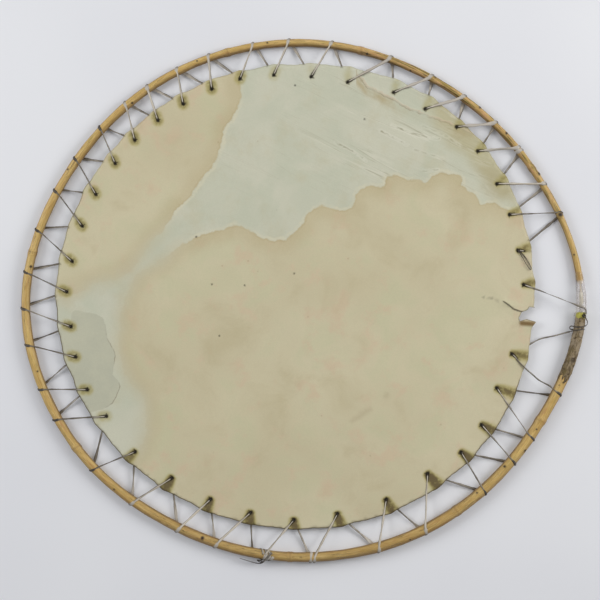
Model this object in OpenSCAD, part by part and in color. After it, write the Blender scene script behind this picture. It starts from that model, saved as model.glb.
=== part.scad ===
// Laced frame drum: a rawhide head hung by a thong inside a hoop bent from one tapering cane.
// The drum lies flat with its playing face up. The origin is under the middle of the hoop.
// Angles are in degrees about the middle, counter-clockwise from +X seen from above.

/* [Hoop] */
// Distance from the middle of the drum to the hoop's centre line at its right-hand joint
hoop_reach = 264; // [180:1:320]
// Diameter of the cane just past its bark, near the thick end
butt_d = 10.6; // [8:0.1:14]
// Diameter of the cane at its thin end
tip_d = 6.0; // [4:0.1:7.6]
// How far the cane's growth rings stand out from it
growth_ring_h = 0.75; // [0.7:0.05:1.5]

/* [Joint] */
// Thickness of the bark left on the thick end
bark_t = 0.45; // [0.3:0.05:0.6]
// Wall thickness of the translucent sleeve over the two ends
sleeve_wall = 0.5; // [0.4:0.05:0.6]

/* [Skin] */
// Thickness of the rawhide head
skin_t = 0.8; // [0.5:0.1:1.2]
// Height of the head's underside above the surface that the drum lies on
skin_z = 4.3; // [3.6:0.1:5]
// Diameter of the punched lacing holes
hole_d = 3.2; // [2.8:0.1:4]

/* [Thong] */
// Width of the flat thong
thong_w = 2.2; // [1.5:0.1:2.4]
// Thickness of the thong
thong_t = 0.5; // [0.3:0.05:0.55]

/* [Hidden] */

// The hoop_reach that the outlines and paths given in mm below belong to
drawn_reach = 264;
// Radii as shares of hoop_reach, one every 30 degrees counter-clockwise from +X
hoop_shape = [1.00, 0.95, 0.922, 0.926, 0.94, 0.96, 1.00, 0.978, 0.936, 0.926, 0.935, 0.953];
skin_shape = [0.832, 0.851, 0.862, 0.851, 0.863, 0.88, 0.892, 0.871, 0.841, 0.826, 0.829, 0.834];
shape_step = 30;
outline_step = 2.5;

// The cane runs clockwise from its butt to its tip
butt_angle = -2.5;
tip_angle = -355.9;
bark_end = -16.8;
butt_neck = 0.9;
neck_share = 0.05;
// Where its growth rings are, clear of the thong's turns
growth_rings = [-27, -54, -93, -147, -190, -253, -283, -330];
ring_flat = 0.35;
ring_slope = 0.9;
ring_steps = [1.3, 0.35, -0.35, -1.3];
ring_reach = 2.4;
cane_sides = 16;
cane_step = 4;
// The joint is held a little higher, so that its sleeve clears what the drum lies on
joint_lift = 0.9;
joint_spread = 12;

// The sleeve runs clockwise from the tip to the butt
sleeve_start = 5.8;
sleeve_end = -3.4;
sleeve_steps = 8;

gap = 0.05;
turn_steps = 9;
turn_lead = 1;
turn_start = 101.25;
joint_turn_steps = 4;

// The thong bends out over the hole's rim by bend_out, hangs back in the hole by bend_in, and
// passes the skin's faces at these distances
bend_out = 0.5;
bend_in = 0.3;
face_clear = 0.3;
face_inside = 0.1;

// Where the long thongs start on the hoop, and how far their ends stand off it
lower_start = -7;
lower_drop = 2;
lower_inset = 1;
main_start = -101.5;

// One row a stitch, clockwise: angle of the hole, its inset from the skin's edge in mm, and
// the angle where the thong turns round the hoop
lower_stitches = [
    [-14.5, 15, -20], [-24.5, 18, -31], [-35, 13, -37.5], [-44, 11, -46.5], [-54.5, 16, -62],
    [-67.5, 13, -73], [-81, 12, -87.5], [-92.5, 9, -98.5]
];
main_stitches = [
    [-104, 11, -109.5], [-115, 12, -118.5], [-126.5, 13, -130], [-138, 11, -141],
    [-149.5, 12, -154], [-157.5, 9, -161], [-166, 10, -170.5], [-173.5, 12, -178],
    [-182, 10, -185.5], [-189.5, 12, -194.5], [-198.5, 12, -203.5], [-207, 11, -211.5],
    [-216, 10, -220], [-223.5, 9, -227.5], [-231, 9, -233.5], [-238.5, 9, -241],
    [-246.5, 8, -248.5], [-254, 7, -258.5], [-262.5, 9, -266.5], [-272, 12, -276],
    [-281.5, 14, -289.5], [-293.5, 12, -299.5], [-302.5, 12, -308], [-311.5, 7, -317],
    [-319.5, 8, -324.5], [-329, 10, -334], [-337.5, 11, -341]
];
loose_hole = [-347, 12];
joint_hole = [4, 10];
joint_hitch = -1.3;

// Knots, as rows of a place and the radius of the lump there. The joint's are angles, leaning out
// knot_lean above level and knot_lift off the sleeve. The stopper's are distances along +Y.
joint_lumps = [[-2.1, 0.7], [-2.5, 1.4], [-3.1, 1.9], [-3.7, 1.5], [-4.1, 0.8]];
knot_lean = 50;
knot_lift = 1.2;
stopper_lumps = [[-2.6, 0.7], [-1.6, 1.5], [0, 1.9], [1.6, 1.5], [2.6, 0.7]];
stopper_drop = 2;
// Turns laid side by side round the hoop: angle, number of turns, degrees between them
joint_binding = [-4.9, 2, 0.65];
splice_binding = [-96.3, 3, 0.5];
// The splice's tail: angle, distance out from the cane's surface, radius
splice_tail = [[-99.9, 0.2, 0.6], [-101, 1.6, 0.7], [-102.2, 1.4, 0.7], [-103.6, 0.6, 0.5]];
splice_tail_lift = 1;

// Torn corner and crack at the skin's right-hand edge, as x, y, clockwise from the edge
tear = [[226, -6], [219, -7], [208, -11], [207, -19], [220, -21], [226, -22]];
crack = [[211, -10.6], [198, -8], [190, -4], [175, 2], [190, -4.6], [198, -8.8], [210, -12]];

// The slack loop is drawn tight, to this share of the thong's width
loop_narrow = 0.6;
// Path of the slack loop on the skin, as x, y and the height above the skin
loop_path = [
    [206, 46, 0.6], [209, 43, 0.6], [213, 38, 0.7], [216, 33, 0.9], [216.5, 30, 1.1],
    [214.5, 29.5, 1.2], [212, 32, 1.2], [208.5, 37, 1.1], [204.5, 42.5, 0.7]
];

// ---- Rules of the shape ----

function turned(a) = a - 360 * floor(a / 360);

// A smooth closed curve through evenly spaced radii
function curve_r(shares, a) =
    let (
        n = len(shares),
        s = turned(a) / shape_step,
        i = floor(s),
        f = s - i,
        p = shares[(i + n - 1) % n],
        q = shares[i % n],
        r = shares[(i + 1) % n],
        t = shares[(i + 2) % n]
    )
    hoop_reach * (q + f / 2 * (r - p + f * (2 * p - 5 * q + 4 * r - t + f * (3 * q - 3 * r + t - p))));

function hoop_r(a) = curve_r(hoop_shape, a);
function skin_r(a) = curve_r(skin_shape, a);

// Share of the cane's length, from 0 at the butt to 1 at the tip
function along(a) = min(1, max(0, (butt_angle - a) / (butt_angle - tip_angle)));

function cane_r(a) =
    let (u = along(a), neck = butt_neck * exp(-pow(u / neck_share, 2)))
    (butt_d + (tip_d - butt_d) * u) / 2 - neck;

function growth_h(a) =
    growth_ring_h * max([for (g = growth_rings) exp(-pow(max(abs(a - g) - ring_flat, 0) / ring_slope, 2))]);

// Height of the cane's centre line, with its growth rings standing on the surface below
function flat_r(r) = r * cos(180 / cane_sides);
function from_joint(a) = min(turned(a), 360 - turned(a));
function cane_z(a) =
    flat_r(cane_r(a) + growth_ring_h) + joint_lift * exp(-pow(from_joint(a) / joint_spread, 2));

function place(a, out, z) = [out * cos(a), out * sin(a), z];

// A round section of the hoop at angle a
function round_ring(a, r, z) =
    [for (i = [0 : cane_sides - 1])
        let (s = -360 * (i + 0.5) / cane_sides)
        place(a, hoop_r(a) + r * cos(s), z + r * sin(s))];

// ---- Sweeps ----

function side_faces(n, rows) =
    [for (j = [0 : rows - 1], i = [0 : n - 1])
        [j * n + i, j * n + (i + 1) % n, (j + 1) * n + (i + 1) % n, (j + 1) * n + i]];

// A solid through a row of sections, with flat ends
module sweep(rings) {
    n = len(rings[0]);
    last = len(rings) - 1;
    near_end = [for (i = [n - 1 : -1 : 0]) i];
    far_end = [for (i = [0 : n - 1]) last * n + i];
    polyhedron([for (ring = rings) each ring], concat([near_end], side_faces(n, last), [far_end]));
}

// A tube: a row of outer sections and then of inner ones, joined into a closed surface
module tube(outer, inner) {
    rings = concat(outer, [for (i = [len(inner) - 1 : -1 : 0]) inner[i]]);
    n = len(rings[0]);
    rows = len(rings);
    faces = [for (j = [0 : rows - 1], i = [0 : n - 1])
        let (k = (j + 1) % rows)
        [j * n + i, j * n + (i + 1) % n, k * n + (i + 1) % n, k * n + i]];
    polyhedron([for (ring = rings) each ring], faces);
}

// ---- Thong ----

// The thong's flat section, in half widths and half thicknesses
thong_section = [[1, 0], [0.7, 1], [-0.7, 1], [-1, 0], [-0.7, -1], [0.7, -1]];

// The thong across the hoop at angle a: facing is the way its broad face looks, 90 for up
function thong_ring(a, out, z, facing) =
    [for (q = thong_section)
        let (side = q[0] * thong_w / 2, lift = q[1] * thong_t / 2)
        place(a, out + lift * cos(facing), z + lift * sin(facing)) + side * [sin(a), -cos(a), 0]];

// Round the hoop from its top over the outside to its underside
function turn_rings(a, r, last_step = turn_steps, lead = turn_lead) =
    [for (j = [0 : last_step])
        let (
            s = turn_start - 360 / cane_sides * j,
            b = a - lead * j / turn_steps,
            reach = r + gap + thong_t / 2
        )
        thong_ring(b, hoop_r(b) + reach * cos(s), cane_z(b) + reach * sin(s), s)];

function hole_r(stitch) = skin_r(stitch[0]) - stitch[1];

// Where the thong comes in under a hole, up through it and out over the skin
function under_ring(stitch) =
    thong_ring(stitch[0], hole_r(stitch) + bend_out, skin_z - face_clear, -90);
function through_rings(stitch) =
    let (in_r = hole_r(stitch) - bend_in, out_r = hole_r(stitch) + bend_out)
    [thong_ring(stitch[0], in_r, skin_z + face_inside, 180),
        thong_ring(stitch[0], in_r, skin_z + skin_t - face_inside, 180),
        thong_ring(stitch[0], out_r, skin_z + skin_t + face_clear, 90)];

function stitch_rings(stitch) =
    concat([under_ring(stitch)], through_rings(stitch), turn_rings(stitch[2], cane_r(stitch[2])));

// Turns side by side round the hoop, bound by [angle, turns, degrees between them]
module binding(bound, r) {
    a = bound[0];
    lead = bound[2];
    steps = bound[1] * cane_sides;
    sweep([for (j = [0 : steps])
        let (
            s = turn_start - 360 / cane_sides * j,
            b = a - lead * j / cane_sides,
            reach = r + gap + thong_t / 2
        )
        thong_ring(b, hoop_r(b) + reach * cos(s), cane_z(b) + reach * sin(s), s)]);
}

// A knot's lump, or a short round end of thong, through points with a radius each
module lump(points, sides = 8) {
    sweep([for (i = [0 : len(points) - 1])
        let (
            before = points[max(i - 1, 0)],
            after = points[min(i + 1, len(points) - 1)],
            heading = atan2(after[1] - before[1], after[0] - before[0]),
            p = points[i]
        )
        [for (k = [0 : sides - 1])
            let (s = -360 * k / sides)
            [p[0] - p[3] * cos(s) * sin(heading), p[1] + p[3] * cos(s) * cos(heading),
                p[2] + p[3] * sin(s)]]]);
}

// ---- Pieces ----

module hoop_stick() {
    stops = concat([butt_angle], growth_rings, [tip_angle]);
    last = len(stops) - 1;
    angles = [for (i = [0 : last - 1])
        let (
            from = stops[i] - (i == 0 ? 0 : ring_reach),
            to = stops[i + 1] + (i == last - 1 ? 0 : ring_reach),
            n = ceil((from - to) / cane_step)
        )
        each concat(
            [for (k = [0 : n]) from + (to - from) * k / n],
            i == last - 1 ? [] : [for (d = ring_steps) stops[i + 1] + d]
        )];
    color("#c9a868")
    sweep([for (a = angles) round_ring(a, cane_r(a) + growth_h(a), cane_z(a))]);
}

module butt_bark() {
    angles = [for (k = [0 : 5]) butt_angle + (bark_end - butt_angle) * k / 5];
    color("#7d6f5b")
    tube([for (a = angles) round_ring(a, cane_r(a) + bark_t, cane_z(a))],
        [for (a = angles) round_ring(a, cane_r(a) + gap / 2, cane_z(a))]);
}

// The sleeve's bore clears the tip at one end and the bark at the other
function sleeve_r(a) =
    let (
        f = (sleeve_start - a) / (sleeve_start - sleeve_end),
        tip_r = tip_d / 2 + gap,
        butt_r = cane_r(sleeve_end) + bark_t + gap
    )
    tip_r + (butt_r - tip_r) * min(1, f * 1.5);
function sleeve_z(a) =
    let (f = min(1, max(0, (tip_angle + 360 - a) / (tip_angle + 360 - butt_angle))))
    cane_z(tip_angle) * (1 - f) + cane_z(butt_angle) * f;

module joint_sleeve() {
    angles = [for (k = [0 : sleeve_steps])
        sleeve_start + (sleeve_end - sleeve_start) * k / sleeve_steps];
    color("#d8d6d0", 0.5)
    tube([for (a = angles) round_ring(a, sleeve_r(a) + sleeve_wall, sleeve_z(a))],
        [for (a = angles) round_ring(a, sleeve_r(a), sleeve_z(a))]);
}

module skin_outline() {
    polygon([for (a = [0 : outline_step : 360 - outline_step]) [skin_r(a) * cos(a), skin_r(a) * sin(a)]]);
}

module skin_head() {
    punched = concat(lower_stitches, main_stitches, [loose_hole, joint_hole]);
    scale_up = hoop_reach / drawn_reach;
    color("#beb59a")
    difference() {
        translate([0, 0, skin_z])
        linear_extrude(skin_t)
        difference() {
            skin_outline();
            polygon(tear * scale_up);
            polygon(crack * scale_up);
        }
        for (h = punched)
            translate(place(h[0], hole_r(h), skin_z - skin_t))
            cylinder(d = hole_d, h = 3 * skin_t, $fn = 32);
    }
}

module lower_lace() {
    start_r = hoop_r(lower_start) - cane_r(lower_start) - bark_t - lower_inset;
    color("#6f6558")
    sweep(concat(
        [thong_ring(lower_start, start_r, cane_z(lower_start) - lower_drop, -90)],
        [for (s = lower_stitches) each stitch_rings(s)]
    ));
}

module main_lace() {
    start_r = hoop_r(main_start) - cane_r(main_start);
    color("#6f6558")
    sweep(concat(
        [thong_ring(main_start, start_r, thong_t + face_clear, -90)],
        [for (s = main_stitches) each stitch_rings(s)],
        [under_ring(loose_hole)],
        through_rings(loose_hole)
    ));
}

module joint_lace() {
    r = sleeve_r(joint_hitch) + sleeve_wall;
    color("#6f6558")
    sweep(concat(through_rings(joint_hole), turn_rings(joint_hitch, r, joint_turn_steps)));
}

// A lump of the thong high on the outside of the joint, and two turns round the bark
module joint_knot() {
    reach = sleeve_r(sleeve_end) + sleeve_wall + knot_lift;
    out = reach * cos(knot_lean);
    up = reach * sin(knot_lean);
    color("#5d5246") {
        lump([for (p = joint_lumps)
            concat(place(p[0], hoop_r(p[0]) + out, sleeve_z(p[0]) + up), p[1])]);
        binding(joint_binding, cane_r(joint_binding[0]) + bark_t);
    }
}

module stopper_knot() {
    c = place(joint_hole[0], hole_r(joint_hole), skin_z - stopper_drop);
    color("#5d5246")
    lump([for (p = stopper_lumps) [c[0], c[1] + p[0], c[2], p[1]]]);
}

// Three turns where the two long thongs meet, and a short tail along the hoop
module splice_knot() {
    color("#5d5246") {
        binding(splice_binding, cane_r(splice_binding[0]));
        lump([for (p = splice_tail)
            let (out = hoop_r(p[0]) + cane_r(p[0]) + p[1])
            concat(place(p[0], out, cane_z(p[0]) + splice_tail_lift), p[2])]);
    }
}

module loose_loop() {
    last = len(loop_path) - 1;
    color("#6f6558")
    sweep([for (i = [0 : last])
        let (
            before = loop_path[max(i - 1, 0)],
            after = loop_path[min(i + 1, last)],
            heading = atan2(after[1] - before[1], after[0] - before[0]),
            p = loop_path[i] * hoop_reach / drawn_reach
        )
        [for (q = thong_section)
            let (side = -q[0] * thong_w * loop_narrow / 2)
            [p[0] - side * sin(heading), p[1] + side * cos(heading),
                skin_z + skin_t + loop_path[i][2] + q[1] * thong_t / 2]]]);
}

hoop_stick();
butt_bark();
joint_sleeve();
skin_head();
lower_lace();
main_lace();
joint_lace();
joint_knot();
stopper_knot();
splice_knot();
loose_loop();
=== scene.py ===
"""Laced frame drum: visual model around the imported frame. Shapes are worked out in millimetres and
made in metres. Angles are in degrees about the drum's middle, counter-clockwise from +X."""

import math

import bpy
import numpy as np
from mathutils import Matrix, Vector, kdtree
from mathutils.geometry import delaunay_2d_cdt


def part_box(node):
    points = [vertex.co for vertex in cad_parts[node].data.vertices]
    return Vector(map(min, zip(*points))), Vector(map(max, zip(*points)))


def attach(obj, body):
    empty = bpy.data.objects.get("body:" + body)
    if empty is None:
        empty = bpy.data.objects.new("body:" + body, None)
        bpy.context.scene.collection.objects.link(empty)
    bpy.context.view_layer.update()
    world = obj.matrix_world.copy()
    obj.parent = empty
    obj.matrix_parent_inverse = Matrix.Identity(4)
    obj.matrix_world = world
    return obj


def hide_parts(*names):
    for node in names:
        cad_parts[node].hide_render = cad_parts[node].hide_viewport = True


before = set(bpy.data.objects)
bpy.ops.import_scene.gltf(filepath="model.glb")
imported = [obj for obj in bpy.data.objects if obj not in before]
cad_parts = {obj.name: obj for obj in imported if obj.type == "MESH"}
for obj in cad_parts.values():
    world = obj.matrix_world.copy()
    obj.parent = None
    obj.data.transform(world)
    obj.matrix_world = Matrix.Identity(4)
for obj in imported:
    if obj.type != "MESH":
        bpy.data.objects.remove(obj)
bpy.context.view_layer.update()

MM = 0.001
BODY = "root"
rng = np.random.default_rng(37)

# ---- The drum's own measurements, as the CAD model has them ----

HOOP_REACH = 264.0
HOOP_SHAPE = [1.00, 0.95, 0.922, 0.926, 0.94, 0.96, 1.00, 0.978, 0.936, 0.926, 0.935, 0.953]
SKIN_SHAPE = [0.832, 0.851, 0.862, 0.851, 0.863, 0.88, 0.892, 0.871, 0.841, 0.826, 0.829, 0.834]
SHAPE_STEP = 30
BUTT_ANGLE, TIP_ANGLE = -2.5, -355.9
BUTT_D, TIP_D, BUTT_NECK, NECK_SHARE = 10.6, 6.0, 0.9, 0.05
GROWTH_RINGS = [-27, -54, -93, -147, -190, -253, -283, -330]
GROWTH_H = 0.75
BARK_END, BARK_T = -16.8, 0.45
JOINT_LIFT, JOINT_SPREAD = 0.9, 12
FLAT = math.cos(math.pi / 16)
SLEEVE_START, SLEEVE_END, SLEEVE_WALL = 5.8, -3.4, 0.5
SKIN_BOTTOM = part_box("skin_head")[0][2] / MM
SKIN_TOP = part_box("skin_head")[1][2] / MM
SKIN_MID = (SKIN_BOTTOM + SKIN_TOP) / 2
THONG_W, THONG_T = 2.2, 0.5

# One row a stitch, clockwise: angle of the hole, its inset from the skin's edge, angle of the turn
LOWER = [
    (-14.5, 15, -20), (-24.5, 18, -31), (-35, 13, -37.5), (-44, 11, -46.5), (-54.5, 16, -62),
    (-67.5, 13, -73), (-81, 12, -87.5), (-92.5, 9, -98.5),
]
MAIN = [
    (-104, 11, -109.5), (-115, 12, -118.5), (-126.5, 13, -130), (-138, 11, -141),
    (-149.5, 12, -154), (-157.5, 9, -161), (-166, 10, -170.5), (-173.5, 12, -178),
    (-182, 10, -185.5), (-189.5, 12, -194.5), (-198.5, 12, -203.5), (-207, 11, -211.5),
    (-216, 10, -220), (-223.5, 9, -227.5), (-231, 9, -233.5), (-238.5, 9, -241),
    (-246.5, 8, -248.5), (-254, 7, -258.5), (-262.5, 9, -266.5), (-272, 12, -276),
    (-281.5, 14, -289.5), (-293.5, 12, -299.5), (-302.5, 12, -308), (-311.5, 7, -317),
    (-319.5, 8, -324.5), (-329, 10, -334), (-337.5, 11, -341),
]
LOOSE_HOLE = (-347, 12, -351)
JOINT_HOLE = (4, 10, -1.3)


def between(p, q, r, t, f):
    """A smooth curve at share f of the way from q to r, which lie between p and t."""
    bend = 2 * p - 5 * q + 4 * r - t + f * (3 * q - 3 * r + t - p)
    return q + f / 2 * (r - p + f * bend)


def bell(x, width, power=2):
    """1 at x = 0, falling smoothly away on both sides."""
    return np.exp(-((x / width) ** power))


def unit(v):
    return v / np.maximum(np.linalg.norm(v, axis=-1, keepdims=True), 1e-9)


def curve_r(shares, a):
    """A smooth closed curve through evenly spaced radii."""
    shares = np.array(shares)
    s = (np.asarray(a, float) % 360) / SHAPE_STEP
    i = np.floor(s).astype(int)
    return HOOP_REACH * between(*(shares[(i + k) % len(shares)] for k in (-1, 0, 1, 2)), s - i)


def hoop_r(a):
    return curve_r(HOOP_SHAPE, a)


def skin_r(a):
    return curve_r(SKIN_SHAPE, a)


def cane_r(a):
    u = np.clip((BUTT_ANGLE - np.asarray(a, float)) / (BUTT_ANGLE - TIP_ANGLE), 0, 1)
    return (BUTT_D + (TIP_D - BUTT_D) * u) / 2 - BUTT_NECK * bell(u, NECK_SHARE)


def cane_z(a):
    from_joint = np.minimum(np.asarray(a, float) % 360, (-np.asarray(a, float)) % 360)
    return (cane_r(a) + GROWTH_H) * FLAT + JOINT_LIFT * bell(from_joint, JOINT_SPREAD)


def out_dir(a):
    return np.array([cos_deg(a), sin_deg(a), 0.0])


def place(a, out, z):
    return out_dir(a) * out + np.array([0, 0, z])


def smooth(lo, hi, x):
    t = np.clip((x - lo) / (hi - lo), 0, 1)
    return t * t * (3 - 2 * t)


def cos_deg(a):
    return np.cos(np.radians(a))


def sin_deg(a):
    return np.sin(np.radians(a))


def wrap(a):
    """An angle as -180 to 180."""
    return (a + 180) % 360 - 180


def at_height(xy, z):
    return np.array([xy[0], xy[1], z])


# ---- Camera, light and floor ----


def make_camera():
    """Looks straight down on the drum, from where frame_w metres fill the picture."""
    frame_w, lens, sensor, aim_x, height = 0.570, 85, 36, -0.0033, 0.006
    data = bpy.data.cameras.new("camera")
    data.lens = lens
    data.sensor_width = sensor
    cam = bpy.data.objects.new("camera", data)
    cam.location = (aim_x, 0, height + frame_w * lens / sensor)
    data.clip_start, data.clip_end = 0.01, 100
    bpy.context.scene.collection.objects.link(cam)
    bpy.context.scene.camera = cam


def area_light(name, place_at, size, power, colour):
    data = bpy.data.lights.new(name, "AREA")
    data.shape = "DISK"
    data.size = size
    data.energy = power
    data.color = colour
    lamp = bpy.data.objects.new(name, data)
    lamp.location = place_at
    lamp.rotation_euler = (-Vector(place_at)).to_track_quat("-Z", "Y").to_euler()
    bpy.context.scene.collection.objects.link(lamp)


def make_light():
    world = bpy.data.worlds.new("studio")
    world.use_nodes = True
    sky = world.node_tree.nodes["Background"]
    sky.inputs["Color"].default_value = (0.96, 0.97, 1.0, 1)
    sky.inputs["Strength"].default_value = 0.345
    bpy.context.scene.world = world
    area_light("top_softbox", (0.2, 1.9, 1.5), 1.3, 10.0, (1.0, 0.99, 0.97))
    area_light("right_softbox", (1.55, 0.4, 1.0), 1.0, 17.0, (1.0, 0.99, 0.98))
    area_light("left_softbox", (-1.55, 0.45, 1.0), 1.0, 13.5, (0.98, 0.99, 1.0))
    bpy.context.scene.view_settings.view_transform = "Standard"


# ---- Node materials ----


def rgb(r, g, b):
    """An sRGB colour, 0 to 255, as the linear colour that a shader takes."""
    out = []
    for c in (r, g, b):
        c /= 255
        out.append(c / 12.92 if c <= 0.04045 else ((c + 0.055) / 1.055) ** 2.4)
    return (*out, 1.0)


class Shader:
    """A material under construction: each method adds one node and returns its output."""

    def __init__(self, name):
        self.mat = bpy.data.materials.new(name)
        self.mat.use_nodes = True
        self.tree = self.mat.node_tree
        self.bsdf = self.tree.nodes["Principled BSDF"]
        self.colour = None

    def put(self, socket, value):
        if isinstance(value, bpy.types.NodeSocket):
            self.tree.links.new(value, socket)
        else:
            socket.default_value = value

    def node(self, kind, output, inputs, **settings):
        """Adds a node with its inputs and its settings, and returns one of its outputs."""
        made = self.tree.nodes.new("ShaderNode" + kind)
        for key, value in settings.items():
            setattr(made, key, value)
        for socket, value in inputs.items():
            self.put(made.inputs[socket], value)
        return made.outputs[output]

    def attr(self, name, output="Fac"):
        return self.node("Attribute", output, {}, attribute_name=name)

    def coords(self):
        return self.node("TexCoord", "Object", {})

    def mapped(self, vector, scale, turn=0.0):
        turn = (0, 0, math.radians(turn))
        return self.node("Mapping", "Vector", dict(Vector=vector, Scale=scale, Rotation=turn))

    def noise(self, vector, scale, detail=4.0, rough=0.55, warp=0.0):
        return self.node("TexNoise", "Fac", dict(Vector=vector, Scale=scale, Detail=detail,
                                                 Roughness=rough, Distortion=warp))

    def fibres(self, stretch, *settings):
        """Noise that follows the grain: stretch is its scale along and across it."""
        along, across = stretch
        grain = self.mapped(self.attr("grain", "Vector"), (along, across, across))
        return self.noise(grain, *settings)

    def calc(self, op, a, b=0.0, clamp=False):
        return self.node("Math", 0, {0: a, 1: b}, operation=op, use_clamp=clamp)

    def sum(self, a, b):
        return self.calc("ADD", a, b)

    def times(self, *values):
        out = values[0]
        for v in values[1:]:
            out = self.calc("MULTIPLY", out, v)
        return out

    def band(self, value, lo, hi, out_lo=0.0, out_hi=1.0):
        """value from lo..hi to out_lo..out_hi, smoothly and clamped."""
        inputs = {"Value": value, "From Min": lo, "From Max": hi, "To Min": out_lo,
                  "To Max": out_hi}
        return self.node("MapRange", "Result", inputs, interpolation_type="SMOOTHSTEP")

    def near(self, value, centre, width):
        """1 where value is at centre, falling to 0 at width away from it."""
        off = self.calc("ABSOLUTE", self.calc("SUBTRACT", value, centre))
        return self.band(off, 0, width, 1, 0)

    def mix(self, fac, a, b):
        """From colour a to colour b, each an output or an sRGB triple."""
        a, b = (rgb(*v) if isinstance(v, tuple) else v for v in (a, b))
        return self.node("Mix", 2, {0: fac, 6: a, 7: b}, data_type="RGBA")

    def lay(self, fac, colour):
        """Lays a colour over what the surface has so far, as far as fac says."""
        self.colour = self.mix(fac, self.colour, colour)

    def bump(self, height, strength, distance, *normal):
        """A normal roughened by height, on top of another normal if one is given."""
        inputs = dict(Strength=strength, Distance=distance, Height=height)
        inputs.update(("Normal", n) for n in normal)
        return self.node("Bump", "Normal", inputs)

    def finish(self, rough, normal, **constants):
        inputs = {"Base Color": self.colour, "Roughness": rough, "Normal": normal}
        inputs.update((key.replace("_", " "), value) for key, value in constants.items())
        for socket, value in inputs.items():
            self.put(self.bsdf.inputs[socket], value)
        return self.mat


def floor_material():
    s = Shader("floor_cloth")
    weave = s.noise(s.coords(), 900, 2)
    tone = s.noise(s.coords(), 3.0, 2)
    s.colour = s.mix(s.band(tone, 0.35, 0.65), (230, 231, 235), (235, 236, 239))
    return s.finish(0.9, s.bump(weave, 0.15, 0.0002))


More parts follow.
